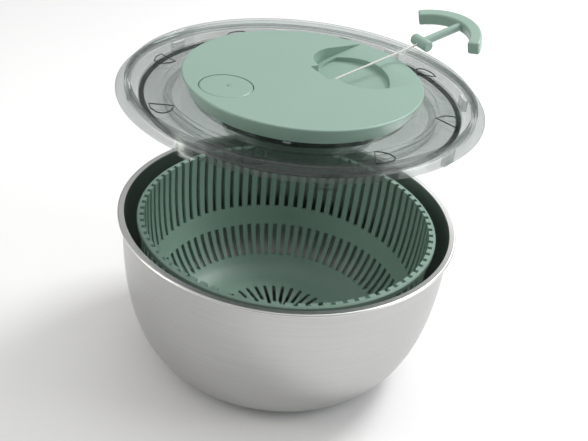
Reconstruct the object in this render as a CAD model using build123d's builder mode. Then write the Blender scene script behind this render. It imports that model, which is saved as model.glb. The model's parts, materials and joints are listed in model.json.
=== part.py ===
"""A pull-cord salad spinner: steel bowl, slotted basket, clear lid, cord reel, T-handle and brake button.

Millimetres, +Z up. The origin is the centre of the foot's underside, which stands on the table. The cord is
pulled towards +X and the brake button is on the -X side. The lid is modelled lifted off the bowl.
"""

from build123d import *
from math import acos, cos, pi, radians, sin
import os

os.makedirs("parts", exist_ok=True)

# ---- Bowl ----
bowl_height = 128.0  # foot's underside to the top of the rim
rim_radius = 130.0
rim_lip = 4.0  # how far the rim stands out from the wall
rim_roll = 1.4  # radius of the rolled edge
rim_straight = 3.0  # upright stretch under the roll
sheet = 0.9  # steel thickness
flat_radius = 72.0  # flat part of the bowl's bottom
fullness = 2.5  # exponent of the wall's outline: 2 is an ellipse, more is squarer
foot_thick = 2.5
foot_radius = 80.0
foot_turn_up = 5.0  # how far the foot climbs the bowl's corner
foot_spread = 13.0
foot_edge = 1.0

# ---- Basket ----
basket_drop = 5.0  # basket rim below bowl rim
basket_gap = 12.6  # bowl wall to basket wall at the top
basket_floor_gap = 10.6  # bowl floor to basket floor
basket_thick = 2.2
basket_flat = 58.0
basket_rim_out = 3.0  # rim past the basket's wall
basket_rim_skirt = 4.5
basket_skirt_thick = 1.6
basket_rim_chamfer = 0.8
slot_count = 80
slot_width = 3.6
slot_past_wall = 0.9  # how far a slot cuts past the wall, into the rim
upper_slots = (-3.0, 57.0)  # upper and lower ends, below the rim; the upper ends open through the top
lower_slots = (73.0, 97.0)
floor_slot_count = 40
floor_slot_width = 3.0
floor_slots = (27.0, 53.0)  # inner and outer ends, from the axis
stud_base = (14.0, 1.2)  # radius and thickness
stud_neck = (6.0, 3.0)  # radius and height where the cone narrows
stud_shoulder = 6.0  # height where the pin starts
pin_radius = 3.0
pin_height = 19.0  # above the bowl's floor
pin_tip = 1.0
pin_clearance = 0.06
cup_wall = 3.0
cup_height = 11.0
cup_cap = 0.6
cup_end_play = 1.0  # pin's tip to the cup's closed end, before the cap's thickness
hub_wall = 2.5

# ---- Clear lid ----
lid_lift = 100.0  # flange's underside above the bowl's rim as modelled
flange_overhang = 1.0  # past the bowl's rim
flange_thick = 1.6
flange_chamfer = 0.5
ridge_inset = 6.2  # flange's edge to the ridge's outer wall
ridge_width = 4.0
ridge_height = 8.5
ridge_wall = 1.4
ridge_chamfer = 1.0
deck_thick = 2.0
step_radius = 96.8
step_drop = 1.0
well_radius = 76.0
well_drop = 4.0  # top of the deck to the top of the well's floor
lug_count = 8
lug_thick = 3.2
lug_width = 12.0
lug_depth = 9.0
lug_root = 0.2  # how far a lug stands into the flange
lug_clearance = 2.2  # to the bowl's wall

# ---- Top cover and its recess ----
cover_radius = 86.0  # at the top
cover_foot_radius = 81.0
cover_height = 13.0  # top face above the flange's underside
cover_thick = 2.0
cover_round = 1.2
cover_side_lean = 0.1  # how far the side leans in just under the round
cover_inner_lean = 0.6  # the same on the inside
pull_angle = 15.0  # the cord's rise above the lid
exit_reach = 14.0  # where the cord comes out, from the axis
exit_height = 2.4
recess_floor_drop = 5.3  # the cord's line to the recess's floor
recess_wall = 1.5
recess_back = 1.0  # the pocket's inner wall, behind the cord's exit
recess_neck = (12.0, 20.0)  # the pocket: half its width, and where it opens into the fan
recess_bulge = (31.0, 33.5)  # a point on the fan's curved side, along and across
recess_side = (43.0, 38.3)  # where the curved side ends and the handle's lane starts
scoop_angle = 10.8  # slope of the finger scoop's floor
scoop_side = (50.0, 34.0)  # widest point of the scoop
scoop_bulge = (33.0, 29.5)
scoop_reach = 66.0
boss_radius = 4.5
boss_ring = 69.5
boss_angles = (85, -85, 128, -128)

# ---- Cord and handle ----
cord_diameter = 1.6
cord_out = 91.0  # length of cord that shows
bar_radius = 4.2
bar_length = 18.0
bar_round = 1.2
same_size = 0.01  # sizes closer than this are the same
shaft_radius = 3.1
grip_radius = 40.0
grip_half_angle = 57.0
grip_width = 9.0
grip_thick = 9.4
grip_round = 1.6
ferrule_wall = 0.7

# ---- Reel housing and what it holds ----
housing_radius = 52.0
housing_wall = 2.0
housing_flange = 54.0
housing_flange_thick = 1.4
housing_play = 0.4  # in the deck's hole
ear_ring = 57.5
ear_radius = 4.2
ear_angles = (90, -90, 146, -146)
cap_level = -9.2
cap_thick = 1.5
cap_play = 0.1
cap_ledge = (1.5, 3.0, 5.0)  # under the cap: how far in, and where it starts and ends below
housing_chamfer = 2.0
reel_gap = 0.4
reel_flange = 1.2
drum_height = 8.0
drum_radius = 26.0
drum_wall = 2.0
reel_radius = 36.0
wound_thick = 4.0
wound_play = 0.2  # to the flanges
turn_share = 0.49  # a turn's radius, of the pitch
cord_tuck = 0.2  # the inner cord's end, behind the eyelet
axle_radius = 2.5
axle_clearance = 0.06
axle_head_thick = 1.5
reel_hub_radius = 6.5
spring_strip = 0.5
spring_turns = 5
spring_points = 12  # on each turn
spring_play = 0.6
spring_low = 0.8  # above the drum's floor
clutch_gap = 0.3
pawl_reach = 5.5
pawl_radius = 2.6
pawl_finger = (2.2, 8.0)  # width and length
pawl_finger_at = (-1.6, -3.6)
pawl_lean = -35.0  # degrees
pawl_step = 1.0  # from the pawl down to its pivot
ratchet_thick = 1.9
ratchet_radius = 14.0
ratchet_teeth = 16
ratchet_depth = 1.8
hub_radius = 5.0
hub_clearance = 0.06
tooth_front = 0.12  # a tooth's steep front, of its whole step
hexagon_step = 0.2  # shaft's radius to the hexagon's corners
plate_gap = 3.0  # housing floor to the drive plate's floor
clip_thick = 1.5
clip_radius = 8.5
pulley_radius = 4.0
pulley_lip = 0.3
pulley_cord_play = 0.1
pulley_width = 3.6
pulley_reach = 39.0
pulley_pin_radius = 1.0
pulley_pin_clearance = 0.05
pulley_bracket_gap = 0.4
pulley_bracket_thick = 1.5
pulley_ear_radius = 2.5
cord_hole_play = 1.4
eyelet_radius = 3.2
eyelet_barrel = 2.3  # outer radius in the wall
eyelet_lip = 1.0  # thickness in front of the wall
eyelet_play = (0.1, 0.5)  # round the cord, inside and at the mouth
screw_radius = 1.5
screw_play = 0.2
screw_end_gap = 0.5  # a cover screw's tip to the bottom of its hole
screw_roof = 1.5  # left above a cover screw's hole
screw_head_radius = 2.8
screw_head_thick = 1.4

# ---- Drive plate and the ring on its edge ----
plate_thick = 1.5
plate_rim_level = -3.5
plate_flat_level = -8.0
plate_flat_radius = 98.0
plate_dish_play = 3.0
plate_dish_slope = (3.0, 4.0)  # the dish's lower corner, inwards and upwards
drive_rim_foot = 6.0  # the width that the rim's ring stands on
drive_rim_web = 6.0  # from the plate's edge to the level part of the rim
grip_ring_width = 3.5
grip_ring_inset = 0.6
drive_gap = 0.3  # the grip ring to the basket's rim when the lid is on

# ---- Brake ----
button_reach = 61.0
button_radius = 18.6
button_play = 0.4
button_thick = 3.0
button_rim = 1.2
button_rim_thick = 1.4
button_rim_rise = 0.4
button_chamfer = 0.8
brake_travel = 3.0
brake_gap = 0.3
stem_radius = 3.6
pad_radius = 4.6
pad_thick = 2.0
pad_play = 0.9
brake_spring_radius = 5.6
brake_wire = 0.45
brake_coils = 4
coil_play = 0.05

# ---- Levels that follow ----
steel_bottom = foot_thick
floor_top = steel_bottom + sheet
wall_radius = rim_radius - rim_lip
wall_inside = wall_radius - sheet
wall_top = bowl_height - 2 * rim_roll - rim_straight
basket_top = bowl_height - basket_drop
basket_bottom = floor_top + basket_floor_gap
basket_radius = wall_inside - basket_gap
lid_level = bowl_height + lid_lift
flange_radius = rim_radius + flange_overhang
ridge_radius = flange_radius - ridge_inset
deck_top = deck_thick
step_top = deck_top - step_drop
well_top = deck_top - well_drop
well_bottom = well_top - deck_thick
pull = Vector(cos(radians(pull_angle)), 0, sin(radians(pull_angle)))
across = Vector(0, 1, 0)
pull_up = Vector(-sin(radians(pull_angle)), 0, cos(radians(pull_angle)))
cord_exit = Vector(exit_reach, 0, lid_level + exit_height)
bar_centre = cord_exit + pull * cord_out
eyelet_back = cord_exit.X - recess_back - recess_wall - eyelet_lip
reel_top = cap_level - reel_gap
drum_top = reel_top - reel_flange
drum_bottom = drum_top - drum_height
reel_bottom = drum_bottom - reel_flange
ratchet_top = reel_bottom - clutch_gap
ratchet_bottom = ratchet_top - ratchet_thick
housing_floor_top = ratchet_bottom - reel_gap
housing_bottom = housing_floor_top - housing_wall
plate_floor_top = housing_bottom - plate_gap
plate_floor = plate_floor_top - plate_thick
cap_top = cap_level + cap_thick
pulley_height = exit_height - pulley_radius
button_under = cover_height - button_thick
cover_screw_reach = cover_height - well_top - cover_thick - screw_roof - screw_end_gap
pad_top = well_top + pad_thick + brake_gap

# The revolved lid pieces are drawn in this plane: x is the radius, y the height above the flange.
lid_section = Plane(origin=(0, 0, lid_level), x_dir=(1, 0, 0), z_dir=(0, -1, 0))


def lid_plane(height):
    """A level plane at a height above the flange's underside."""
    return Plane.XY.offset(lid_level + height)


def side_curve(top_radius, bottom_radius, top, bottom, steps=9):
    """Points down a bowl-shaped wall, a quarter of a superellipse."""
    points = []
    for step in range(steps + 1):
        turn = step / steps * pi / 2
        radius = bottom_radius + (top_radius - bottom_radius) * cos(turn) ** (2 / fullness)
        height = top - (top - bottom) * sin(turn) ** (2 / fullness)
        points.append((radius, height))
    return points


def save(piece, name):
    """Labels a finished piece and writes it to its own file."""
    piece.part.label = name
    export_step(piece.part, f"parts/{name}.step")


# ---- Bowl: spun steel with a turned-out, rolled rim ----
outside = side_curve(wall_radius, flat_radius, wall_top, steel_bottom)
inside = side_curve(wall_inside, flat_radius, wall_top, floor_top)
with BuildPart() as bowl:
    with BuildSketch(Plane.XZ):
        with BuildLine():
            Line((0, steel_bottom), (flat_radius, steel_bottom))
            Spline(*outside, tangents=[(0, -1), (-1, 0)])
            Polyline(
                (wall_radius, wall_top),
                (wall_radius, bowl_height),
                (wall_inside, bowl_height),
                (wall_inside, wall_top),
            )
            Spline(*inside, tangents=[(0, -1), (-1, 0)])
            Polyline((flat_radius, floor_top), (0, floor_top), (0, steel_bottom))
        make_face()
        with Locations(((wall_inside + rim_radius - rim_roll) / 2, bowl_height - sheet / 2)):
            Rectangle(rim_radius - rim_roll - wall_inside, sheet)
        with Locations((rim_radius - rim_roll, bowl_height - rim_roll)):
            Circle(rim_roll)
    revolve(axis=Axis.Z)
save(bowl, "bowl")

# ---- Foot: a soft non-slip pad that turns up round the bowl's corner ----
with BuildPart() as foot_pad:
    with BuildSketch(Plane.XZ):
        with BuildLine():
            Polyline(
                (0, 0),
                (foot_radius, 0),
                (foot_radius + foot_spread, foot_thick + foot_turn_up - foot_edge),
                (foot_radius + foot_spread, foot_thick + foot_turn_up),
                (0, foot_thick + foot_turn_up),
                (0, 0),
            )
        make_face()
        with BuildLine():
            Line((0, steel_bottom), (flat_radius, steel_bottom))
            Spline(*outside, tangents=[(0, -1), (-1, 0)])
            Polyline((wall_radius, wall_top), (0, wall_top), (0, steel_bottom))
        make_face(mode=Mode.SUBTRACT)
    revolve(axis=Axis.Z)
save(foot_pad, "foot_pad")

# ---- Pivot stud: stands in the middle of the bowl, the basket turns on it ----
with BuildPart() as pivot_stud:
    with BuildSketch(Plane.XZ):
        with BuildLine():
            Polyline(
                (0, floor_top),
                (stud_base[0], floor_top),
                (stud_base[0], floor_top + stud_base[1]),
                (stud_neck[0], floor_top + stud_neck[1]),
                (pin_radius, floor_top + stud_shoulder),
                (pin_radius, floor_top + pin_height - pin_tip),
                (pin_radius - pin_tip, floor_top + pin_height),
                (0, floor_top + pin_height),
                (0, floor_top),
            )
        make_face()
    revolve(axis=Axis.Z)
save(pivot_stud, "pivot_stud")


def upright_slot(top, bottom):
    """One slot through the basket's wall, on the +X side."""
    with BuildPart() as slot:
        with BuildSketch(Plane.YZ.offset(slot_start)):
            with Locations((0, (top + bottom) / 2)):
                Rectangle(slot_width, top - bottom)
        extrude(amount=basket_radius + slot_past_wall - slot_start)
    return slot.part


# ---- Basket: moulded, two tiers of upright slots, a slotted floor and a hub for the pivot cup ----
cup_bore = pin_radius + pin_clearance
cup_radius = cup_bore + cup_wall
cup_bottom = floor_top + pin_height - cup_height + cup_end_play
slot_start = (basket_flat + basket_radius) / 2
skirt_inside = basket_radius + basket_rim_out - basket_skirt_thick
basket_outside = side_curve(basket_radius, basket_flat, basket_top - basket_rim_skirt, basket_bottom)
basket_inside = side_curve(
    basket_radius - basket_thick, basket_flat, basket_top - basket_rim_skirt, basket_bottom + basket_thick
)
slots = [upright_slot(basket_top - start, basket_top - end) for start, end in (upper_slots, lower_slots)]
with BuildPart() as basket:
    with BuildSketch(Plane.XZ):
        with BuildLine():
            Line((0, basket_bottom), (basket_flat, basket_bottom))
            Spline(*basket_outside, tangents=[(0, -1), (-1, 0)])
            Polyline(
                basket_outside[0],
                (basket_radius, basket_top - basket_thick),
                (skirt_inside, basket_top - basket_thick),
                (skirt_inside, basket_top - basket_rim_skirt),
                (basket_radius + basket_rim_out, basket_top - basket_rim_skirt),
                (basket_radius + basket_rim_out, basket_top - basket_rim_chamfer),
                (basket_radius + basket_rim_out - basket_rim_chamfer, basket_top),
                (basket_radius - basket_thick, basket_top),
                basket_inside[0],
            )
            Spline(*basket_inside, tangents=[(0, -1), (-1, 0)])
            Polyline(basket_inside[-1], (0, basket_bottom + basket_thick), (0, basket_bottom))
        make_face()
    revolve(axis=Axis.Z)
    with BuildSketch(Plane.XY.offset(basket_bottom)):
        Circle(cup_radius + hub_wall)
    extrude(amount=cup_bottom + cup_height + hub_wall - basket_bottom)
    with BuildSketch(Plane.XY.offset(cup_bottom)):
        Circle(cup_radius)
    extrude(amount=cup_height, mode=Mode.SUBTRACT)
    with BuildSketch(Plane.XY.offset(basket_bottom)):
        Circle(cup_radius)
    extrude(amount=cup_bottom - basket_bottom, mode=Mode.SUBTRACT)
    for slot in slots:
        with PolarLocations(0, slot_count):
            add(slot, mode=Mode.SUBTRACT)
    with BuildSketch(Plane.XY.offset(basket_bottom)):
        with PolarLocations((floor_slots[0] + floor_slots[1]) / 2, floor_slot_count):
            SlotOverall(floor_slots[1] - floor_slots[0], floor_slot_width)
    extrude(amount=basket_thick, mode=Mode.SUBTRACT)
save(basket, "basket")

# ---- Pivot cup: a bearing pressed into the basket's hub, runs on the stud's pin ----
with BuildPart() as pivot_cup:
    with BuildSketch(Plane.XY.offset(cup_bottom)):
        Circle(cup_radius)
        Circle(cup_bore, mode=Mode.SUBTRACT)
    extrude(amount=cup_height)
    with BuildSketch(Plane.XY.offset(cup_bottom + cup_height - cup_cap)):
        Circle(cup_radius)
    extrude(amount=cup_cap)
save(pivot_cup, "pivot_cup")

# ---- Clear lid: flange, hollow ridge, deck with a step, a well for the mechanism and locating lugs ----
ridge_inner = ridge_radius - ridge_width
deck_hole = housing_radius + housing_play
lug_outside = wall_inside - lug_clearance
with BuildPart() as clear_lid:
    with BuildSketch(lid_section):
        with BuildLine():
            Polyline(
                (flange_radius - flange_chamfer, 0),
                (flange_radius, flange_chamfer),
                (flange_radius, flange_thick - flange_chamfer),
                (flange_radius - flange_chamfer, flange_thick),
                (ridge_radius, flange_thick),
                (ridge_radius, ridge_height - ridge_chamfer),
                (ridge_radius - ridge_chamfer, ridge_height),
                (ridge_inner + ridge_chamfer, ridge_height),
                (ridge_inner, ridge_height - ridge_chamfer),
                (ridge_inner, deck_top),
                (step_radius, deck_top),
                (step_radius, step_top),
                (well_radius, step_top),
                (well_radius, well_top),
                (deck_hole, well_top),
                (deck_hole, well_bottom),
                (well_radius + deck_thick, well_bottom),
                (well_radius + deck_thick, step_top - deck_thick),
                (step_radius + deck_thick, step_top - deck_thick),
                (step_radius + deck_thick, 0),
                (ridge_inner + ridge_wall, 0),
                (ridge_inner + ridge_wall, ridge_height - ridge_wall),
                (ridge_radius - ridge_wall, ridge_height - ridge_wall),
                (ridge_radius - ridge_wall, 0),
                (flange_radius - flange_chamfer, 0),
            )
        make_face()
    revolve(axis=Axis.Z)
    with BuildSketch(lid_plane(lug_root)):
        with PolarLocations(lug_outside - lug_thick / 2, lug_count, start_angle=180 / lug_count):
            Rectangle(lug_thick, lug_width)
    extrude(amount=-lug_depth)
    with BuildSketch(lid_plane(well_top)):
        with Locations((-button_reach, 0)):
            Circle(pad_radius + pad_play)
    extrude(amount=-deck_thick, mode=Mode.SUBTRACT)
    with BuildSketch(lid_plane(well_top)):
        for angle in boss_angles:
            with PolarLocations(boss_ring, 1, start_angle=angle):
                Circle(screw_radius + screw_play)
        for angle in ear_angles:
            with PolarLocations(ear_ring, 1, start_angle=angle):
                Circle(screw_radius + screw_play)
    extrude(amount=-deck_thick, mode=Mode.SUBTRACT)
save(clear_lid, "clear_lid")

# ---- Recess: the space that the handle drops into, and the tub of the cover that holds it ----
floor_start = cord_exit - pull_up * recess_floor_drop
ramp = Plane(origin=floor_start, x_dir=pull, z_dir=pull_up)
scoop_slope = radians(scoop_angle)
scoop_floor = Plane(
    origin=floor_start,
    x_dir=(cos(scoop_slope), 0, sin(scoop_slope)),
    z_dir=(-sin(scoop_slope), 0, cos(scoop_slope)),
)


def fan_side(side, start, bulge, end):
    """One side of a fan-shaped hollow: the pocket's straight side, then a curve out to the widest point."""
    Line((start[0], side * start[1]), (recess_neck[1], side * start[1]))
    ThreePointArc((recess_neck[1], side * start[1]), (bulge[0], side * bulge[1]), (end[0], side * end[1]))


def hollow(grow, depth):
    """The handle's lane and pocket and the finger scoop, grown outwards and downwards."""
    start = (cord_exit.X - recess_back - grow, recess_neck[0] + grow)
    lane_side = (recess_side[0], recess_side[1] + grow)
    widest = (scoop_side[0], scoop_side[1] + grow)
    with BuildPart() as lane:
        with BuildSketch(lid_plane(cover_height)):
            with BuildLine():
                for side in (-1, 1):
                    fan_side(side, start, (recess_bulge[0], recess_bulge[1] + grow), lane_side)
                    Line((lane_side[0], side * lane_side[1]), (cover_radius, side * lane_side[1]))
                Line((start[0], -start[1]), start)
                Line((cover_radius, -lane_side[1]), (cover_radius, lane_side[1]))
            make_face()
        extrude(amount=-2 * cover_height)
        split(bisect_by=ramp.offset(-depth), keep=Keep.TOP)
    with BuildPart() as scoop:
        with BuildSketch(lid_plane(cover_height)):
            with BuildLine():
                for side in (-1, 1):
                    fan_side(side, start, (scoop_bulge[0], scoop_bulge[1] + grow), widest)
                ThreePointArc(widest, (scoop_reach + grow, 0), (widest[0], -widest[1]))
                Line((start[0], -start[1]), start)
            make_face()
        extrude(amount=-2 * cover_height)
        split(bisect_by=scoop_floor.offset(-depth), keep=Keep.TOP)
    return lane.part + scoop.part


with BuildPart() as inside_cover:
    with BuildSketch(lid_plane(-cover_height)):
        Circle(cover_foot_radius - cover_thick / 2)
    extrude(amount=2 * cover_height - cover_thick / 2)
recess_space = hollow(0, 0)
recess_tub = hollow(recess_wall, recess_wall) & inside_cover.part

# ---- Top cover: a moulded disc with a flared side, the recess, the button's hole and screw bosses ----
with BuildPart() as top_cover:
    with BuildSketch(lid_section):
        with BuildLine():
            Line((0, cover_height), (cover_radius - cover_round, cover_height))
            RadiusArc(
                (cover_radius - cover_round, cover_height),
                (cover_radius - cover_side_lean, cover_height - cover_round),
                cover_round,
            )
            Polyline(
                (cover_radius - cover_side_lean, cover_height - cover_round),
                (cover_foot_radius, step_top),
                (cover_foot_radius - cover_thick, step_top),
                (cover_radius - cover_thick - cover_inner_lean, cover_height - cover_thick),
                (0, cover_height - cover_thick),
                (0, cover_height),
            )
        make_face()
    revolve(axis=Axis.Z)
    add(recess_tub)
    with BuildSketch(lid_plane(cover_height - cover_thick)):
        for angle in boss_angles:
            with PolarLocations(boss_ring, 1, start_angle=angle):
                Circle(boss_radius)
    extrude(amount=-(cover_height - cover_thick - well_top))
    add(recess_space, mode=Mode.SUBTRACT)
    with BuildSketch(lid_plane(cover_height)):
        with Locations((-button_reach, 0)):
            Circle(button_radius + button_play)
    extrude(amount=-cover_thick, mode=Mode.SUBTRACT)
    with BuildSketch(lid_plane(well_top)):
        for angle in boss_angles:
            with PolarLocations(boss_ring, 1, start_angle=angle):
                Circle(screw_radius)
    extrude(amount=cover_screw_reach + screw_end_gap, mode=Mode.SUBTRACT)
    with BuildSketch(Plane.YZ.offset(eyelet_back)):
        with Locations((0, cord_exit.Z)):
            Circle(eyelet_barrel)
    extrude(amount=cord_exit.X - eyelet_back, mode=Mode.SUBTRACT)
save(top_cover, "top_cover")

# ---- Cord eyelet: a smooth ring set in the recess's inner wall ----
with BuildPart() as cord_eyelet:
    with BuildSketch(Plane.XZ):
        with BuildLine():
            Polyline(
                (eyelet_back, eyelet_barrel),
                (cord_exit.X - eyelet_lip, eyelet_barrel),
                (cord_exit.X - eyelet_lip, eyelet_radius),
                (cord_exit.X - eyelet_lip / 2, eyelet_radius),
                (cord_exit.X, eyelet_radius - eyelet_lip / 2),
                (cord_exit.X, cord_diameter / 2 + eyelet_play[1]),
                (cord_exit.X - eyelet_lip / 2, cord_diameter / 2 + eyelet_play[0]),
                (eyelet_back, cord_diameter / 2 + eyelet_play[0]),
                (eyelet_back, eyelet_barrel),
            )
        make_face()
    revolve(axis=Axis.X)
    cord_eyelet.part.position = (0, 0, cord_exit.Z)
save(cord_eyelet, "cord_eyelet")

# ---- Handle: cross bar, round shaft and an arc to hook two fingers behind ----
handle_plane = Plane(origin=bar_centre, x_dir=pull, z_dir=pull_up)
bar_plane = Plane(origin=bar_centre, x_dir=pull, z_dir=across)
shaft_plane = Plane(origin=bar_centre, x_dir=across, z_dir=pull)
ferrule_radius = cord_diameter / 2 + ferrule_wall
ferrule_length = 2 * bar_radius - 2 * ferrule_wall
grip_end = (grip_radius * cos(radians(grip_half_angle)), grip_radius * sin(radians(grip_half_angle)))
with BuildPart() as pull_handle:
    with BuildSketch(handle_plane):
        Circle(grip_radius + grip_width / 2)
        Circle(grip_radius - grip_width / 2, mode=Mode.SUBTRACT)
        Polygon(
            (0, 0),
            (2 * grip_end[0], -2 * grip_end[1]),
            (3 * grip_radius, -2 * grip_end[1]),
            (3 * grip_radius, 2 * grip_end[1]),
            (2 * grip_end[0], 2 * grip_end[1]),
            align=None,
            mode=Mode.INTERSECT,
        )
    extrude(amount=grip_thick / 2, both=True)
    fillet(pull_handle.edges(), grip_round)
    with BuildSketch(bar_plane):
        Circle(bar_radius)
    extrude(amount=bar_length / 2, both=True)
    round_edges = pull_handle.edges().filter_by(GeomType.CIRCLE)
    fillet(round_edges.filter_by(lambda edge: abs(edge.radius - bar_radius) < same_size), bar_round)
    with BuildSketch(shaft_plane):
        Circle(shaft_radius)
    extrude(amount=grip_radius)
    with BuildSketch(shaft_plane.offset(-bar_radius)):
        Circle(ferrule_radius)
    extrude(amount=ferrule_length, mode=Mode.SUBTRACT)
save(pull_handle, "pull_handle")

# ---- Ferrule: crimped on the cord's end and pulled up inside the cross bar ----
with BuildPart() as cord_ferrule:
    with BuildSketch(shaft_plane.offset(-bar_radius)):
        Circle(ferrule_radius)
    extrude(amount=ferrule_length)
save(cord_ferrule, "cord_ferrule")

# ---- Pull cord: the straight stretch between the eyelet and the handle ----
cord_length = cord_out - bar_radius
with BuildPart() as pull_cord:
    with BuildSketch(Plane(origin=cord_exit, x_dir=across, z_dir=pull)):
        Circle(cord_diameter / 2)
    extrude(amount=cord_length)
save(pull_cord, "pull_cord")

# ---- Inner cord: over the pulley, down through the cap and on to the drum ----
lay_radius = drum_radius + wound_thick + cord_diameter
drum_middle = (drum_top + drum_bottom) / 2
run_x = -pulley_reach - pulley_radius
leave = acos(lay_radius / -run_x)
tangent_point = (-lay_radius * cos(leave), lay_radius * sin(leave))
with BuildPart() as inner_cord:
    with BuildLine() as cord_path:
        FilletPolyline(
            (eyelet_back - cord_tuck, 0, lid_level + exit_height),
            (run_x, 0, lid_level + exit_height),
            (run_x, 0, lid_level + drum_middle),
            (*tangent_point, lid_level + drum_middle),
            radius=[pulley_radius, 3 * cord_diameter],
        )
    with BuildSketch(Plane(origin=cord_path.line @ 0, z_dir=cord_path.line % 0)):
        Circle(cord_diameter / 2)
    sweep()
save(inner_cord, "inner_cord")

# ---- Reel housing: a cup hung in the deck's hole, with a flange, ears and a bearing in its floor ----
with BuildPart() as reel_housing:
    with BuildSketch(lid_section):
        with BuildLine():
            Polyline(
                (hub_radius + hub_clearance, housing_bottom),
                (housing_radius - housing_chamfer, housing_bottom),
                (housing_radius, housing_bottom + housing_chamfer),
                (housing_radius, well_top),
                (housing_flange, well_top),
                (housing_flange, well_top + housing_flange_thick),
                (housing_radius - housing_wall, well_top + housing_flange_thick),
                (housing_radius - housing_wall, cap_level),
                (housing_radius - housing_wall - cap_ledge[0], cap_level),
                (housing_radius - housing_wall - cap_ledge[0], cap_level - cap_ledge[1]),
                (housing_radius - housing_wall, cap_level - cap_ledge[2]),
                (housing_radius - housing_wall, housing_floor_top),
                (hub_radius + hub_clearance, housing_floor_top),
                (hub_radius + hub_clearance, housing_bottom),
            )
        make_face()
    revolve(axis=Axis.Z)
    with BuildSketch(lid_plane(well_top)):
        for angle in ear_angles:
            with PolarLocations(ear_ring, 1, start_angle=angle):
                Circle(ear_radius)
        Circle(housing_flange - 0.5, mode=Mode.SUBTRACT)
    extrude(amount=housing_flange_thick)
    with BuildSketch(lid_plane(well_top)):
        for angle in ear_angles:
            with PolarLocations(ear_ring, 1, start_angle=angle):
                Circle(screw_radius)
    extrude(amount=housing_flange_thick, mode=Mode.SUBTRACT)
save(reel_housing, "reel_housing")

# ---- Reel cap: closes the housing, carries the pulley's ears and the axle's bore ----
ear_inside = pulley_width / 2 + pulley_bracket_gap
with BuildPart() as reel_cap:
    with BuildSketch(lid_plane(cap_level)):
        Circle(housing_radius - housing_wall - cap_play)
        Circle(axle_radius, mode=Mode.SUBTRACT)
        with Locations((run_x, 0)):
            Circle(cord_diameter / 2 + cord_hole_play, mode=Mode.SUBTRACT)
    extrude(amount=cap_thick)
    for side in (-1, 1):
        ear = Plane.XZ.offset(-side * (ear_inside + pulley_bracket_thick / 2))
        with BuildSketch(ear):
            with Locations((-pulley_reach, lid_level + (cap_top + pulley_height) / 2)):
                Rectangle(2 * pulley_ear_radius, pulley_height - cap_top)
            with Locations((-pulley_reach, lid_level + pulley_height)):
                Circle(pulley_ear_radius)
                Circle(pulley_pin_radius, mode=Mode.SUBTRACT)
        extrude(amount=pulley_bracket_thick / 2, both=True)
    with BuildSketch(Plane.XZ):
        with Locations((-pulley_reach, lid_level + pulley_height)):
            Circle(pulley_pin_radius)
    extrude(amount=ear_inside + pulley_bracket_thick, both=True, mode=Mode.SUBTRACT)
save(reel_cap, "reel_cap")

# ---- Guide pulley and its pin ----
with BuildPart() as guide_pulley:
    with BuildSketch(Plane.XZ):
        with Locations((-pulley_reach, lid_level + pulley_height)):
            Circle(pulley_radius + pulley_lip)
            Circle(pulley_pin_radius + pulley_pin_clearance, mode=Mode.SUBTRACT)
    extrude(amount=pulley_width / 2, both=True)
    with BuildSketch(Plane.XZ):
        with Locations((-pulley_reach, lid_level + pulley_height)):
            Circle(pulley_radius + 2 * pulley_lip)
            Circle(pulley_radius - cord_diameter / 2 - pulley_cord_play, mode=Mode.SUBTRACT)
    extrude(amount=cord_diameter / 2 + 2 * pulley_cord_play, both=True, mode=Mode.SUBTRACT)
save(guide_pulley, "guide_pulley")

with BuildPart() as pulley_pin:
    with BuildSketch(Plane.XZ):
        with Locations((-pulley_reach, lid_level + pulley_height)):
            Circle(pulley_pin_radius)
    extrude(amount=ear_inside + pulley_bracket_thick, both=True)
save(pulley_pin, "pulley_pin")

# ---- Reel axle: a headed steel pin held in the cap ----
with BuildPart() as reel_axle:
    with BuildSketch(lid_plane(plate_floor)):
        Circle(axle_radius)
    extrude(amount=cap_top - plate_floor)
    with BuildSketch(lid_plane(cap_top)):
        Circle(2 * axle_radius)
    extrude(amount=axle_head_thick)
save(reel_axle, "reel_axle")

# ---- Cord reel: a flanged drum on a hub, hollow for the recoil spring ----
axle_bore = axle_radius + axle_clearance
pawl_ring = ratchet_radius + pawl_reach
with BuildPart() as cord_reel:
    with BuildSketch(lid_section):
        with BuildLine():
            Polyline(
                (axle_bore, reel_bottom),
                (reel_radius, reel_bottom),
                (reel_radius, drum_bottom),
                (drum_radius, drum_bottom),
                (drum_radius, drum_top),
                (reel_radius, drum_top),
                (reel_radius, reel_top),
                (drum_radius - drum_wall, reel_top),
                (drum_radius - drum_wall, drum_bottom),
                (reel_hub_radius, drum_bottom),
                (reel_hub_radius, reel_top),
                (axle_bore, reel_top),
                (axle_bore, reel_bottom),
            )
        make_face()
    revolve(axis=Axis.Z)
save(cord_reel, "cord_reel")

# ---- Wound cord: the turns that lie on the drum ----
wound_height = drum_height - 2 * wound_play
turns_high = int(wound_height / cord_diameter)
turn_pitch = wound_height / turns_high
wound_core = wound_thick - turn_pitch / 4
with BuildPart() as wound_cord:
    with BuildSketch(lid_section):
        with Locations((drum_radius + wound_core / 2, drum_middle)):
            Rectangle(wound_core, wound_height)
        for turn in range(turns_high):
            height = drum_bottom + wound_play + (turn + 0.5) * turn_pitch
            with Locations((drum_radius + wound_core, height)):
                Circle(turn_pitch * turn_share)
    revolve(axis=Axis.Z)
save(wound_cord, "wound_cord")

# ---- Recoil spring: a flat spiral strip between the reel's hub and the drum's wall ----
spiral_start = reel_hub_radius + spring_play
spiral_end = drum_radius - drum_wall - spring_play - spring_strip


def spiral(extra):
    """Points along the spiral, moved outwards by extra."""
    points = []
    for step in range(spring_turns * spring_points + 1):
        share = step / (spring_turns * spring_points)
        radius = spiral_start + (spiral_end - spiral_start) * share + extra
        turn = 2 * pi * spring_turns * share
        points.append((radius * cos(turn), radius * sin(turn)))
    return points


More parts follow.
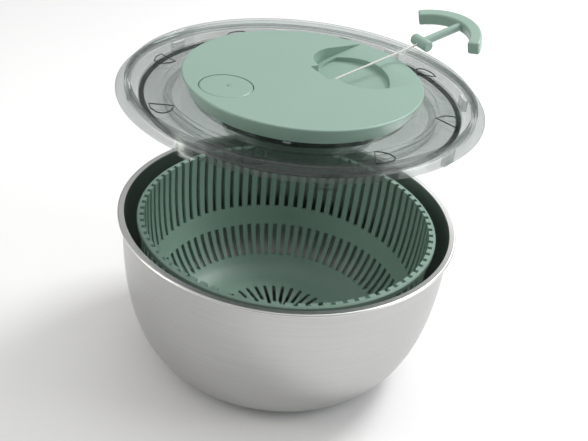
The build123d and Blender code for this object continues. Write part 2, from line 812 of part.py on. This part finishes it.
with BuildPart() as recoil_spring:
    with BuildSketch(lid_plane(drum_bottom + spring_low)):
        with BuildLine():
            inner_edge = Spline(*spiral(0))
            outer_edge = Spline(*spiral(spring_strip))
            Line(inner_edge @ 0, outer_edge @ 0)
            Line(inner_edge @ 1, outer_edge @ 1)
        make_face()
    extrude(amount=drum_height - spring_low)
save(recoil_spring, "recoil_spring")

# ---- Clutch pawls: two fingers under the reel that catch the ratchet one way only ----
with BuildPart() as clutch_pawls:
    with BuildSketch(lid_plane(ratchet_bottom)):
        with PolarLocations(pawl_ring, 2, start_angle=90):
            Circle(pawl_radius)
            with Locations(Location(pawl_finger_at, pawl_lean)):
                Rectangle(*pawl_finger)
    extrude(amount=ratchet_thick)
    with BuildSketch(lid_plane(ratchet_top)):
        with PolarLocations(pawl_ring, 2, start_angle=90):
            Circle(pawl_radius - pawl_step)
    extrude(amount=clutch_gap)
save(clutch_pawls, "clutch_pawls")

# ---- Drive hub: ratchet wheel, shaft through the housing's floor and a hexagon that carries the plate ----
tooth_step = 2 * pi / ratchet_teeth
with BuildPart() as drive_hub:
    with BuildSketch(lid_plane(ratchet_bottom)):
        with BuildLine():
            points = []
            for tooth in range(ratchet_teeth):
                turn = tooth * tooth_step
                tip = ratchet_radius
                root = ratchet_radius - ratchet_depth
                points.append((tip * cos(turn), tip * sin(turn)))
                foot = turn + tooth_front * tooth_step
                points.append((root * cos(foot), root * sin(foot)))
            Polyline(*points, close=True)
        make_face()
    extrude(amount=ratchet_thick)
    with BuildSketch(lid_plane(ratchet_bottom)):
        Circle(hub_radius)
    extrude(amount=-(ratchet_bottom - plate_floor_top))
    with BuildSketch(lid_plane(plate_floor_top)):
        RegularPolygon(hub_radius - hexagon_step, 6)
    extrude(amount=-(plate_floor_top - plate_floor + clip_thick))
    with BuildSketch(lid_plane(plate_floor - clip_thick)):
        Circle(axle_bore)
    extrude(amount=ratchet_top - plate_floor + clip_thick, mode=Mode.SUBTRACT)
save(drive_hub, "drive_hub")

# ---- Drive plate: a clear dished disc that hangs under the lid and spins the basket ----
rim_outside = basket_radius + basket_rim_out
dish_radius = housing_radius + plate_dish_play
plate_top = plate_flat_level + plate_thick
slope_in, slope_up = plate_dish_slope
with BuildPart() as drive_plate:
    with BuildSketch(lid_section):
        with BuildLine():
            Polyline(
                (0, plate_floor),
                (dish_radius - slope_in, plate_floor),
                (dish_radius + plate_thick, plate_floor + slope_up),
                (dish_radius + plate_thick, plate_flat_level),
                (plate_flat_radius, plate_flat_level),
                (plate_flat_radius, plate_top),
                (dish_radius, plate_top),
                (dish_radius, plate_floor + slope_up + plate_thick / 2),
                (dish_radius - slope_in - plate_thick / 2, plate_floor_top),
                (0, plate_floor_top),
                (0, plate_floor),
            )
        make_face()
    revolve(axis=Axis.Z)
    with BuildSketch(lid_plane(plate_floor)):
        RegularPolygon(hub_radius - hexagon_step, 6)
    extrude(amount=plate_thick, mode=Mode.SUBTRACT)
save(drive_plate, "drive_plate")

# ---- Drive rim: a clear ring welded on the plate's edge, it reaches out over the basket's rim ----
with BuildPart() as drive_rim:
    with BuildSketch(lid_section):
        with BuildLine():
            Polyline(
                (plate_flat_radius - drive_rim_foot, plate_top),
                (plate_flat_radius, plate_top),
                (plate_flat_radius + drive_rim_web, plate_rim_level),
                (rim_outside, plate_rim_level),
                (rim_outside, plate_rim_level + plate_thick),
                (plate_flat_radius + drive_rim_web - plate_thick / 2, plate_rim_level + plate_thick),
                (plate_flat_radius - plate_thick / 2, plate_top + plate_thick),
                (plate_flat_radius - drive_rim_foot, plate_top + plate_thick),
                (plate_flat_radius - drive_rim_foot, plate_top),
            )
        make_face()
    revolve(axis=Axis.Z)
save(drive_rim, "drive_rim")

# ---- Grip ring: a soft ring under the rim's edge that takes the basket along ----
grip_ring_radius = rim_outside - grip_ring_inset
with BuildPart() as grip_ring:
    with BuildSketch(lid_plane(plate_rim_level)):
        Circle(grip_ring_radius)
        Circle(grip_ring_radius - grip_ring_width, mode=Mode.SUBTRACT)
    extrude(amount=-(basket_drop + plate_rim_level - drive_gap))
save(grip_ring, "grip_ring")

# ---- Hub clip: keeps the plate on the hub ----
with BuildPart() as hub_clip:
    with BuildSketch(lid_plane(plate_floor)):
        Circle(clip_radius)
        RegularPolygon(hub_radius - hexagon_step, 6, mode=Mode.SUBTRACT)
    extrude(amount=-clip_thick)
save(hub_clip, "hub_clip")

# ---- Brake button: a round cap with a guide rim and a stem down to the pad ----
with BuildPart() as brake_button:
    with BuildSketch(Plane(origin=(-button_reach, 0, lid_level), x_dir=(1, 0, 0), z_dir=(0, -1, 0))):
        with BuildLine():
            Polyline(
                (0, button_under),
                (button_radius + button_rim, button_under - button_rim_thick + button_rim_rise),
                (button_radius + button_rim, button_under + button_rim_rise),
                (button_radius, button_under + button_rim_rise),
                (button_radius, cover_height - button_chamfer),
                (button_radius - button_chamfer, cover_height),
                (0, cover_height),
                (0, button_under),
            )
        make_face()
        with BuildLine():
            Polyline(
                (0, button_under + button_rim_rise),
                (stem_radius, button_under + button_rim_rise),
                (stem_radius, pad_top),
                (0, pad_top),
                (0, button_under + button_rim_rise),
            )
        make_face()
    revolve(axis=Axis((-button_reach, 0, 0), (0, 0, 1)))
save(brake_button, "brake_button")

# ---- Brake pad: rubber, on the stem's end, rubs the drive plate when the button is down ----
with BuildPart() as brake_pad:
    with BuildSketch(lid_plane(pad_top)):
        with Locations((-button_reach, 0)):
            Circle(pad_radius)
    extrude(amount=-(pad_top - (plate_top + brake_travel + brake_gap)))
save(brake_pad, "brake_pad")

# ---- Brake spring: lifts the button back ----
coil_low = well_top + brake_wire + coil_play
coil_high = button_under - button_rim_thick + button_rim_rise - brake_wire - coil_play
with BuildPart() as brake_spring:
    with BuildLine():
        Helix(
            (coil_high - coil_low) / brake_coils,
            coil_high - coil_low,
            brake_spring_radius + brake_wire,
            center=(-button_reach, 0, lid_level + coil_low),
        )
    with BuildSketch(Plane.XZ):
        with Locations((-button_reach + brake_spring_radius + brake_wire, lid_level + coil_low)):
            Circle(brake_wire)
    sweep(is_frenet=True)
save(brake_spring, "brake_spring")


def screw_group(ring, angles, head_level, length):
    """Screws in one node, heads at a level above the flange's underside, shanks along length."""
    toward = 1 if length > 0 else -1
    with BuildPart() as screws:
        for angle in angles:
            with BuildSketch(lid_plane(head_level)):
                with PolarLocations(ring, 1, start_angle=angle):
                    Circle(screw_radius)
            extrude(amount=length)
            with BuildSketch(lid_plane(head_level)):
                with PolarLocations(ring, 1, start_angle=angle):
                    Circle(screw_head_radius)
            extrude(amount=-toward * screw_head_thick)
    return screws


# ---- Screws: up through the deck into the cover's bosses, and down through the housing's ears ----
cover_screws = screw_group(boss_ring, boss_angles, well_bottom, deck_thick + cover_screw_reach)
save(cover_screws, "cover_screws")
ear_top = well_top + housing_flange_thick
housing_screws = screw_group(ear_ring, ear_angles, ear_top, -housing_flange_thick - deck_thick)
save(housing_screws, "housing_screws")
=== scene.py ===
import bmesh
import bpy
import json
from math import cos, pi, radians, sin
from mathutils import Matrix, Vector
from mathutils.bvhtree import BVHTree


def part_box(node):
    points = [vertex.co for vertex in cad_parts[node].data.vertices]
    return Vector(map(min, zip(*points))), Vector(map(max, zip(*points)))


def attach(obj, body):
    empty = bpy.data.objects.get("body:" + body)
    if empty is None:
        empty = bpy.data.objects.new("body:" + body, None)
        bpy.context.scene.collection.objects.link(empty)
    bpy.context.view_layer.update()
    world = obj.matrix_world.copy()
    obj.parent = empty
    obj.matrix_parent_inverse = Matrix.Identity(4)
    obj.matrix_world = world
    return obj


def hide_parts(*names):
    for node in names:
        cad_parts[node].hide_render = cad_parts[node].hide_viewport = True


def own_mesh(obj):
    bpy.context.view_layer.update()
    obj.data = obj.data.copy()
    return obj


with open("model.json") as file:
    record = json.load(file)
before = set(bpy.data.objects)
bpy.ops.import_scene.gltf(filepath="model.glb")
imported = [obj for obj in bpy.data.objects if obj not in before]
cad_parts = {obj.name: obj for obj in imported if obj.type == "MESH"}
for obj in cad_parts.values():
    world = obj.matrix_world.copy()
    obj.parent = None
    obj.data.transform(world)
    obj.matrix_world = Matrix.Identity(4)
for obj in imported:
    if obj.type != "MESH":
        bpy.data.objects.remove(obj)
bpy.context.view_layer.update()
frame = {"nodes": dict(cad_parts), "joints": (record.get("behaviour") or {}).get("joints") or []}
nodes = frame["nodes"]

# ---------------------------------------------------------------------------
# Bowl. Spun stainless sheet, satin-brushed round and round on the lathe and rolled over at the rim. A soft
# non-slip foot is glued under it, and a turned pin stands in its middle for the basket.


class Wire:
    """A socket of a finish; arithmetic on it adds Math nodes."""

    def __init__(self, finish, socket):
        self.finish = finish
        self.socket = socket

    def math(self, operation, *values):
        return self.finish.node("ShaderNodeMath", {"operation": operation}, *values)

    def __add__(self, other):
        return self.math("ADD", self, other)

    __radd__ = __add__

    def __mul__(self, other):
        return self.math("MULTIPLY", self, other)

    __rmul__ = __mul__

    def __sub__(self, other):
        return self.math("SUBTRACT", self, other)

    def __rsub__(self, other):
        return self.math("SUBTRACT", other, self)

    def __truediv__(self, other):
        return self.math("DIVIDE", self, other)

    def past(self, place, width):
        """0 before a place and 1 after it, turning over within width."""
        return self.math("MINIMUM", self.math("MAXIMUM", (self - place) / width, 0.0), 1.0)


class Finish:
    """A material, its Principled shader and the nodes that feed it."""

    def __init__(self, name, color, roughness, metallic=0.0, **constants):
        self.material = bpy.data.materials.new(name)
        self.material.use_nodes = True
        self.tree = self.material.node_tree
        self.tree.nodes.clear()
        self.shader = self.tree.nodes.new("ShaderNodeBsdfPrincipled")
        self.output = self.tree.nodes.new("ShaderNodeOutputMaterial")
        self.tree.links.new(self.shader.outputs[0], self.output.inputs["Surface"])
        self.set("Base Color", (*color, 1.0))
        self.set("Roughness", roughness)
        self.set("Metallic", metallic)
        for socket, value in constants.items():
            self.set(socket.replace("_", " "), value)

    def put(self, socket, value):
        """Feeds a node's input with a link or a plain value."""
        if isinstance(value, Wire):
            self.tree.links.new(value.socket, socket)
        elif value is not None:
            socket.default_value = value

    def set(self, socket, value):
        self.put(self.shader.inputs[socket], value)

    def node(self, kind, settings=None, *values, out=0, **named):
        """Adds a node: its settings first, then its sockets in order or by name."""
        made = self.tree.nodes.new(kind)
        for key, value in (settings or {}).items():
            setattr(made, key, value)
        for socket, value in zip(made.inputs, values):
            self.put(socket, value)
        for key, value in named.items():
            self.put(made.inputs[key.replace("_", " ")], value)
        return Wire(self, made.outputs[out])

    def place(self):
        """The point on the piece, in the frame's metres."""
        return self.node("ShaderNodeTexCoord", None, out="Object")

    def noise(self, vector, scale, detail=3.0, roughness=0.55):
        sizes = {"Scale": scale, "Detail": detail, "Roughness": roughness}
        return self.node("ShaderNodeTexNoise", None, Vector=vector, **sizes)

    def blend(self, share, first, second):
        """A colour between two colours."""
        mix = self.tree.nodes.new("ShaderNodeMix")
        mix.data_type = "RGBA"
        self.put(mix.inputs[0], share)
        for socket, value in ((mix.inputs[6], first), (mix.inputs[7], second)):
            self.put(socket, value if isinstance(value, Wire) or len(value) == 4 else (*value, 1.0))
        return Wire(self, mix.outputs[2])

    def mix_shaders(self, share, first, second):
        mix = self.tree.nodes.new("ShaderNodeMixShader")
        for socket, value in zip(mix.inputs, (share, first, second)):
            self.put(socket, value)
        return Wire(self, mix.outputs[0])

    def bump(self, height, strength, distance=0.0005):
        relief = self.node("ShaderNodeBump", None, Strength=strength, Distance=distance, Height=height)
        self.set("Normal", relief)

    def round_the_axis(self):
        """Turn about the bowl's axis, distance from it and height, as three numbers."""
        split = self.tree.nodes.new("ShaderNodeSeparateXYZ")
        self.put(split.inputs[0], self.place())
        x, y, z = (Wire(self, socket) for socket in split.outputs)
        turn = self.node("ShaderNodeMath", {"operation": "ARCTAN2"}, y, x)
        reach = self.node("ShaderNodeMath", {"operation": "SQRT"}, x * x + y * y)
        return turn, reach, z


def wear(finish, *node_names):
    """Gives CAD nodes a finish."""
    for name in node_names:
        mesh = nodes[name].data
        mesh.materials.clear()
        mesh.materials.append(finish.material)


steel = Finish("brushed_steel", (0.60, 0.60, 0.59), 0.3, 1.0, Anisotropic=0.6)
turn, reach, height = steel.round_the_axis()
lathe_way = steel.node("ShaderNodeCombineXYZ", None, turn * 1.5, reach * 1100, height * 1100)
brush_lines = steel.noise(lathe_way, 1.0, 4.0, 0.65)
handling = steel.noise(steel.place(), 16.0, 2.0)
steel.set("Roughness", 0.26 + brush_lines * 0.13 + handling * 0.06)
wall_tone = steel.blend(brush_lines, (0.44, 0.44, 0.435), (0.60, 0.60, 0.59))
rim_roll_height = 0.1262  # where the rolled rim starts, above the table
rim_highlight_turn = 0.0006
# Above the start of the rolled rim the steel is painted lighter than the brushed wall: a painted highlight on
# the rim.
painted_rim_highlight = height.past(rim_roll_height, rim_highlight_turn)
steel.set("Base Color", steel.blend(painted_rim_highlight, wall_tone, (0.74, 0.74, 0.73)))
steel.bump(brush_lines, 0.16, 0.0002)
wear(steel, "bowl")

foot_rubber = Finish("foot_rubber", (0.05, 0.09, 0.075), 0.7)
dust = foot_rubber.noise(foot_rubber.place(), 60.0)
foot_rubber.set("Base Color", foot_rubber.blend(dust, (0.04, 0.08, 0.065), (0.065, 0.11, 0.09)))
foot_rubber.bump(foot_rubber.noise(foot_rubber.place(), 2500.0), 0.2)
wear(foot_rubber, "foot_pad")

turned_steel = Finish("turned_steel", (0.62, 0.62, 0.62), 0.2, 1.0)
tool_marks = turned_steel.noise(turned_steel.place(), 700.0)
turned_steel.set("Roughness", 0.16 + tool_marks * 0.14)
turned_steel.bump(tool_marks, 0.05, 0.0001)
wear(turned_steel, "pivot_stud")

# ---------------------------------------------------------------------------
# Basket. Injection-moulded sage plastic with a fine spark-eroded grain, two tiers of slots and a hub whose
# pressed-in cup turns on the bowl's pin.


def sage_plastic(name, dark, light, roughness):
    """Moulded sage plastic: a faint flow of colour, a fine grain and a little unevenness in its gloss."""
    finish = Finish(name, light, roughness)
    flow = finish.noise(finish.place(), 22.0, 2.0)
    grain = finish.noise(finish.place(), 2200.0, 2.0)
    finish.set("Base Color", finish.blend(flow, dark, light))
    finish.set("Roughness", roughness - 0.04 + grain * 0.08)
    finish.bump(grain, 0.08, 0.0002)
    return finish


basket_sage = sage_plastic("basket_sage", (0.255, 0.385, 0.318), (0.280, 0.412, 0.343), 0.42)
wear(basket_sage, "basket")
inner_sage = sage_plastic("inner_sage", (0.10, 0.15, 0.13), (0.13, 0.19, 0.165), 0.45)
wear(inner_sage, "pivot_cup")

# ---------------------------------------------------------------------------
# Lid. One clear moulding: a flange over the bowl's rim, a ridge, and a deck with eight leaf outlines
# moulded on it. It lies loose on the bowl and carries the reel, the cover and the drive.


def clear_plastic(name, gloss, face_tint, painted_edge_tint, shine):
    """Clear moulded plastic: thin-walled, glossy by its refractive index, and darker where it is seen
    edge-on, which is painted shade in place of the dark lines of refraction.
    """
    finish = Finish(name, (0.96, 0.97, 0.965), gloss, 1.0)
    smudge = finish.noise(finish.place(), 28.0)
    finish.set("Roughness", gloss + smudge * 0.04)
    face_on = finish.node("ShaderNodeBsdfTransparent", None, (*face_tint, 1.0))
    edge_on = finish.node("ShaderNodeBsdfTransparent", None, (*painted_edge_tint, 1.0))
    slant = finish.node("ShaderNodeLayerWeight", None, 0.5, out=1)
    wall = finish.mix_shaders(slant * slant * slant, face_on, edge_on)
    gleam = finish.node("ShaderNodeFresnel", None, 1.49) * shine
    gloss_layer = Wire(finish, finish.shader.outputs[0])
    finish.put(finish.output.inputs["Surface"], finish.mix_shaders(gleam, wall, gloss_layer))
    return finish


def stand_in(node_name, body, finish):
    """A copy of a CAD node's mesh that is shown in its place and rides the same body."""
    mesh = nodes[node_name].data.copy()
    mesh.materials.clear()
    mesh.materials.append(finish.material)
    copy = bpy.data.objects.new(node_name + "_soft", mesh)
    bpy.context.scene.collection.objects.link(copy)
    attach(copy, body)
    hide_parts(node_name)
    return copy


def settle(piece):
    """Makes a piece's modifiers part of its mesh."""
    bpy.context.view_layer.update()
    settled = piece.evaluated_get(bpy.context.evaluated_depsgraph_get())
    mesh = bpy.data.meshes.new_from_object(settled)
    piece.modifiers.clear()
    piece.data = mesh
    return mesh


def soften(node_name, body, finish, width, sharp=28.0, edge_finish=None):
    """Stands in for a CAD node with a copy whose sharp edges are rounded, in their own finish if given."""
    copy = stand_in(node_name, body, finish)
    work = bmesh.new()
    work.from_mesh(copy.data)
    bmesh.ops.remove_doubles(work, verts=work.verts, dist=0.000002)
    bmesh.ops.dissolve_limit(work, angle_limit=radians(0.6), verts=work.verts, edges=work.edges)
    work.to_mesh(copy.data)
    work.free()
    rounding = copy.modifiers.new("rounding", "BEVEL")
    rounding.width = width
    rounding.segments = 2
    rounding.limit_method = "ANGLE"
    rounding.angle_limit = radians(sharp)
    if edge_finish:
        copy.data.materials.append(edge_finish.material)
        rounding.material = 1
    mesh = settle(copy)
    mesh.shade_smooth()
    mesh.set_sharp_from_angle(angle=radians(sharp))
    flats = copy.modifiers.new("flats", "WEIGHTED_NORMAL")
    flats.keep_sharp = True
    settle(copy)


lid_clear = clear_plastic("lid_clear", 0.02, (0.87, 0.885, 0.88), (0.30, 0.33, 0.325), 0.22)
# The lid's rounded edges get a near-black clear finish: painted shade in place of the dark lines that
# refraction draws along the real edges.
lid_painted_dark_edges = clear_plastic("lid_painted_dark_edges", 0.05, (0.05, 0.055, 0.054), (0.02, 0.024, 0.023), 0.5)
soften("clear_lid", "lid", lid_clear, 0.00045, 20.0, lid_painted_dark_edges)

leaf_count = 8
leaf_step = 2 * pi / leaf_count
leaf_start = radians(-47.0)
# A leaf's outline, as distance from the axis and degrees round from its apex: a straight edge out to the
# tip and a curved belly back.
leaf_outline = [
    (0.0975, 0.0),
    (0.1125, -4.0),
    (0.1135, -0.5),
    (0.1120, 3.0),
    (0.1090, 4.6),
    (0.1040, 4.2),
    (0.1005, 2.6),
]
leaf_thick = 0.0004
leaf_proud = 0.3  # how far the line's middle stands above the deck, of its thickness


def upper_side(node_name):
    """The mesh of a CAD node, ready to be asked how high its upper side is at a point."""
    mesh = nodes[node_name].data
    corners = [vertex.co for vertex in mesh.vertices]
    return BVHTree.FromPolygons(corners, [face.vertices for face in mesh.polygons])


def height_at(surface, x, y):
    return surface.ray_cast(Vector((x, y, 1.0)), Vector((0.0, 0.0, -1.0)))[0].z


lid_upper = upper_side("clear_lid")


leaf_line = Finish("leaf_line", (0.035, 0.040, 0.038), 0.5, Specular_IOR_Level=0.1)
leaf_line.set("Roughness", 0.5 + leaf_line.noise(leaf_line.place(), 400.0) * 0.1)
for leaf in range(leaf_count):
    outline = bpy.data.curves.new(f"leaf_outline_{leaf + 1}", "CURVE")
    outline.dimensions = "3D"
    outline.bevel_depth = leaf_thick
    outline.bevel_resolution = 2
    spline = outline.splines.new("POLY")
    spline.points.add(len(leaf_outline) - 1)
    spline.use_cyclic_u = True
    for point, (radius, turned) in zip(spline.points, leaf_outline):
        angle = leaf_start + leaf * leaf_step + radians(turned)
        x, y = radius * cos(angle), radius * sin(angle)
        point.co = (x, y, height_at(lid_upper, x, y) + leaf_thick * leaf_proud, 1.0)
    outline.materials.append(leaf_line.material)
    bead = bpy.data.objects.new(f"leaf_outline_{leaf + 1}", outline)
    bpy.context.scene.collection.objects.link(bead)
    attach(bead, "lid")

# ---------------------------------------------------------------------------
# Cover. The sage moulding screwed over the lid's middle, with the hollow that the handle lies in. The round
# button opposite is the brake; both have the same fine grain as the basket.

cover_sage = sage_plastic("cover_sage", (0.285, 0.420, 0.352), (0.305, 0.445, 0.373), 0.36)
soften("top_cover", "lid", cover_sage, 0.0007, 35.0)
button_sage = sage_plastic("button_sage", (0.285, 0.420, 0.352), (0.305, 0.445, 0.373), 0.32)
soften("brake_button", "brake", button_sage, 0.0004)

button_low, button_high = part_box("brake_button")
button_x = (button_low[0] + button_high[0]) / 2
mark_size = 0.0048
mark_height = 0.00018
mark_bar = 0.0009
mark_reach = 0.0032
mark_round = 0.4  # the rounding of its edges, of its height
mark_sunk = 0.1  # how far its middle is below the button's top, of its height
button_upper = upper_side("brake_button")
# A plain generic mark: three short bars in a fan.
for bar in range(3):
    lean = radians(-32.0 + 32.0 * bar)
    work = bmesh.new()
    bmesh.ops.create_cube(work, size=1.0)
    bmesh.ops.scale(work, verts=work.verts, vec=(mark_size, mark_bar, mark_height))
    bmesh.ops.bevel(work, geom=work.edges[:], offset=mark_height * mark_round, segments=2, affect="EDGES")
    mesh = bpy.data.meshes.new(f"button_mark_{bar + 1}")
    work.to_mesh(mesh)
    work.free()
    mesh.shade_smooth()
    mesh.materials.append(button_sage.material)
    mark = bpy.data.objects.new(f"button_mark_{bar + 1}", mesh)
    x, y = button_x + mark_reach * cos(lean), mark_reach * sin(lean)
    mark.location = (x, y, height_at(button_upper, x, y) - mark_height * mark_sunk)
    mark.rotation_euler.z = lean
    bpy.context.scene.collection.objects.link(mark)
    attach(mark, "brake")

brake_rubber = Finish("brake_rubber", (0.035, 0.04, 0.038), 0.75)
brake_rubber.set("Roughness", 0.7 + brake_rubber.noise(brake_rubber.place(), 300.0) * 0.15)
brake_rubber.bump(brake_rubber.noise(brake_rubber.place(), 2500.0), 0.15)
wear(brake_rubber, "brake_pad", "grip_ring")

# ---------------------------------------------------------------------------
# Handle and cord. A sage T-handle, warmer and lighter than the cover, moulded in one with its shaft and arc
# grip. The white braided cord is crimped in the cross bar and comes out of the metal eyelet.

handle_sage = sage_plastic("handle_sage", (0.315, 0.455, 0.385), (0.340, 0.480, 0.410), 0.34)
wear(handle_sage, "pull_handle")

pull_lean = radians(15.0)
pull_way = Vector((cos(pull_lean), 0.0, sin(pull_lean)))
eyelet_low, eyelet_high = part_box("cord_eyelet")
cord_exit = Vector((eyelet_high[0], 0.0, (eyelet_low[2] + eyelet_high[2]) / 2))
cord_low, cord_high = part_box("pull_cord")
cord_diameter = cord_high[1] - cord_low[1]
cord_length = (cord_high[0] - cord_exit.x - cord_diameter / 2 * pull_way.z) / pull_way.x

cord_white = Finish("cord_white", (0.86, 0.86, 0.84), 0.7)
cord_place = cord_white.place()
dot_product = {"operation": "DOT_PRODUCT"}
along = cord_white.node("ShaderNodeVectorMath", dot_product, cord_place, tuple(pull_way), out=1)
braid_turns = 7000.0  # radians of the braid's pattern on a metre of cord
braid = cord_white.node("ShaderNodeMath", {"operation": "SINE"}, along * braid_turns)
fluff = cord_white.noise(cord_white.place(), 2600.0)
cord_white.set("Base Color", cord_white.blend(fluff, (0.74, 0.74, 0.71), (0.90, 0.90, 0.88)))
cord_white.bump(braid * 0.5 + fluff, 0.35, 0.0002)
wear(cord_white, "inner_cord", "wound_cord")


def joint_travel(joint_name):
    """The farthest that a sliding joint goes from rest."""
    limits = next(joint["range_m"] for joint in frame["joints"] if joint["name"] == joint_name)
    return max(abs(limit) for limit in limits)


cord_shares = (0.0, 0.2, 0.4, 0.6, 0.8, 1.0)


def cord_curve(name, thickness):
    """The taut cord's line from the eyelet to the handle, as a curve of that thickness."""
    curve = bpy.data.curves.new(name, "CURVE")
    curve.dimensions = "3D"
    curve.resolution_u = 12
    curve.bevel_depth = thickness / 2
    curve.bevel_resolution = 4
    curve.use_fill_caps = thickness > 0
    spline = curve.splines.new("NURBS")
    spline.points.add(len(cord_shares) - 1)
    for point, share in zip(spline.points, cord_shares):
        point.co = (*(cord_exit + pull_way * cord_length * share), 1.0)
    spline.order_u = 3
    spline.use_endpoint_u = True
    return bpy.data.objects.new(name, curve)


cord_line = bpy.data.meshes.new_from_object(cord_curve("cord_line", 0.0))
cord_mesh = bpy.data.meshes.new_from_object(cord_curve("cord_tube", cord_diameter))
cord_mesh.shade_smooth()
cord_mesh.materials.clear()
cord_mesh.materials.append(cord_white.material)
free_cord = bpy.data.objects.new("free_cord", cord_mesh)
bpy.context.scene.collection.objects.link(free_cord)
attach(free_cord, "lid")
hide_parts("pull_cord")
left_out = (cord_length - joint_travel("handle_pull")) / cord_length
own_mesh(free_cord)

# ---------------------------------------------------------------------------
# Reel and drive. Sage-grey mouldings and plated steel under the cover; the drive's plate and rim are
# clear, and their soft ring turns the basket by its rim.

wear(inner_sage, "reel_housing", "reel_cap", "cord_reel", "clutch_pawls", "drive_hub", "guide_pulley")
wear(turned_steel, "cord_eyelet", "pulley_pin", "reel_axle", "hub_clip", "cover_screws", "housing_screws")
wear(turned_steel, "cord_ferrule", "recoil_spring")
spring_low, spring_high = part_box("brake_spring")
press = joint_travel("brake_press")
brake_coil = stand_in("brake_spring", "lid", turned_steel)
spring_height = spring_high[2] - spring_low[2]
pressed_share = (spring_height - press) / spring_height
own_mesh(brake_coil)
drive_clear = clear_plastic("drive_clear", 0.03, (0.93, 0.94, 0.935), (0.60, 0.63, 0.625), 0.15)
wear(drive_clear, "drive_plate", "drive_rim")

# ---------------------------------------------------------------------------
# Studio. A pale floor in soft daylight: a key from the right and behind, a strip on the left and a panel
# on the right that light the steel, and a camera that looks down on the lid.

floor_span = 4.0
floor_mesh = bpy.data.meshes.new("studio_floor")
floor_corners = [(-floor_span, -floor_span, 0), (floor_span, -floor_span, 0), (floor_span, floor_span, 0)]
floor_mesh.from_pydata(floor_corners + [(-floor_span, floor_span, 0)], [], [(0, 1, 2, 3)])
studio_floor = bpy.data.objects.new("studio_floor", floor_mesh)
bpy.context.scene.collection.objects.link(studio_floor)
paper = Finish("floor_paper", (0.93, 0.93, 0.93), 0.85)
paper.set("Base Color", paper.blend(paper.noise(paper.place(), 3.0), (0.92, 0.92, 0.92), (0.94, 0.94, 0.94)))
floor_mesh.materials.append(paper.material)

world = bpy.data.worlds.new("studio_world")
bpy.context.scene.world = world
world.use_nodes = True
sky = world.node_tree
background = sky.nodes["Background"]
sky_way = sky.nodes.new("ShaderNodeTexCoord")
sky_split = sky.nodes.new("ShaderNodeSeparateXYZ")
sky_ramp = sky.nodes.new("ShaderNodeValToRGB")
sky_ramp.color_ramp.elements[0].position = 0.0
sky_ramp.color_ramp.elements[0].color = (0.10, 0.105, 0.11, 1.0)
sky_ramp.color_ramp.elements[1].position = 0.75
sky_ramp.color_ramp.elements[1].color = (1.0, 1.0, 1.0, 1.0)
sky.links.new(sky_way.outputs["Generated"], sky_split.inputs[0])
sky.links.new(sky_split.outputs["Z"], sky_ramp.inputs[0])
sky.links.new(sky_ramp.outputs["Color"], background.inputs["Color"])
background.inputs["Strength"].default_value = 0.6

view_azimuth = radians(-33.0)
view_elevation = radians(31.4)
view_distance = 0.70
view_roll = radians(6.67)
view_centre = Vector((0.0, 0.0, 0.130))
view_right = Vector((cos(view_azimuth), sin(view_azimuth), 0.0))
level_back = Vector((sin(view_azimuth), -cos(view_azimuth), 0.0))
view_back = level_back * cos(view_elevation) + Vector((0.0, 0.0, sin(view_elevation)))
view_up = view_back.cross(view_right)


def soft_light(name, side, toward, height, width, tall, power, colour=(1.0, 1.0, 1.0)):
    """A soft box right of, nearer than and above the object's middle, as the camera stands, aimed at it."""
    lamp = bpy.data.lights.new(name, "AREA")
    lamp.shape = "RECTANGLE"
    lamp.size = width
    lamp.size_y = tall
    lamp.energy = power
    lamp.color = colour
    box = bpy.data.objects.new(name, lamp)
    box.location = view_centre + view_right * side + level_back * toward + Vector((0.0, 0.0, height))
    box.rotation_mode = "QUATERNION"
    box.rotation_quaternion = (view_centre - box.location).to_track_quat("-Z", "Y")
    bpy.context.scene.collection.objects.link(box)


soft_light("key_light", 0.9, -0.8, 1.3, 0.6, 0.6, 19.0)
soft_light("top_light", 0.1, -0.3, 1.6, 1.0, 1.0, 4.0)
soft_light("left_strip", -1.1, 0.3, 0.25, 0.16, 0.9, 4.0, (1.0, 0.96, 0.90))
soft_light("right_panel", 1.1, 0.2, 0.3, 0.4, 0.9, 4.5)

bpy.context.scene.view_settings.view_transform = "Standard"

camera_data = bpy.data.cameras.new("view_camera")
camera = bpy.data.objects.new("view_camera", camera_data)
bpy.context.scene.collection.objects.link(camera)
bpy.context.scene.camera = camera
camera.location = view_centre + view_back * view_distance
look_at = view_centre + view_right * 0.0052 - view_up * 0.0091
camera.rotation_mode = "QUATERNION"
rolled = Matrix.Rotation(view_roll, 3, "Z").to_quaternion()
camera.rotation_quaternion = (look_at - camera.location).to_track_quat("-Z", "Y") @ rolled
camera_data.sensor_width = 36.0
camera_data.lens = 55.5
camera_data.clip_start = 0.01
camera_data.clip_end = 50.0
